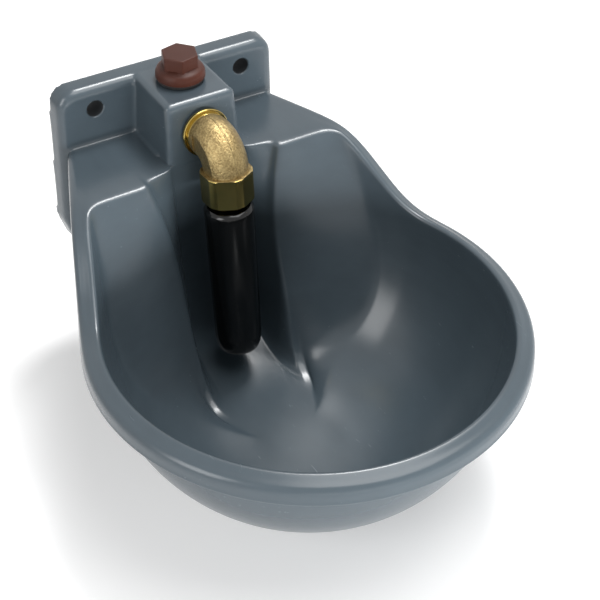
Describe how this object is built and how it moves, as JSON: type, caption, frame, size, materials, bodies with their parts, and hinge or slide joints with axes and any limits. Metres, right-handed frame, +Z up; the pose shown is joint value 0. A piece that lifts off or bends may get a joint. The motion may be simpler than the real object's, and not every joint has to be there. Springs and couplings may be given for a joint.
{
  "type": "livestock drinking bowl",
  "caption": "Wall-hung plastic drinking bowl with a brass elbow and a sprung tube valve that opens when the black tube is pushed sideways.",
  "frame": {"origin": "middle of the wall plate's back, at the height of the two shelves", "axes": "+Y into the wall, +Z up, +X to the right seen from the front; the bowl lies towards -Y"},
  "size_m": [0.22, 0.263, 0.1737],
  "materials": {
    "blue_grey_plastic": "satin moulded, blue-grey",
    "brown_plastic": "satin dark brown",
    "black_tube_plastic": "glossy black",
    "cast_brass": "cast bend, turned flange and collar",
    "turned_brass": "turned",
    "inlet_brass": "cast, dull",
    "black_rubber": "dull black",
    "stainless_steel": "turned",
    "spring_steel": "drawn wire"
  },
  "bodies": {
    "bowl_assembly": {"bowl": "blue_grey_plastic", "inlet_tee": "inlet_brass", "top_plug": "brown_plastic", "plug_gasket": "black_rubber", "elbow": "cast_brass", "elbow_gasket": "black_rubber", "seat_gasket": "black_rubber", "valve_seat": "turned_brass", "seat_ring": "black_rubber"},
    "spring_assembly": {"valve_spring": "spring_steel"},
    "tube_assembly": {"drinking_tube": "black_tube_plastic", "valve_stem": "stainless_steel", "valve_head": "turned_brass", "stem_washer": "stainless_steel", "stem_nut": "stainless_steel"}
  },
  "joints": [
    {"name": "tube_fore_aft", "type": "hinge", "parent": "bowl_assembly", "child": "spring_assembly", "pos_m": [0, -0.07307, -0.00458], "axis": [1, 0, 0], "range_deg": [-4, 4], "stiffness_Nm_per_rad": 2, "deforming": ["valve_spring"]},
    {"name": "tube_sideways", "type": "hinge", "parent": "spring_assembly", "child": "tube_assembly", "pos_m": [0, -0.07307, -0.00458], "axis": [0, -0.9945, 0.1045], "range_deg": [-4, 4], "stiffness_Nm_per_rad": 2}
  ]
}
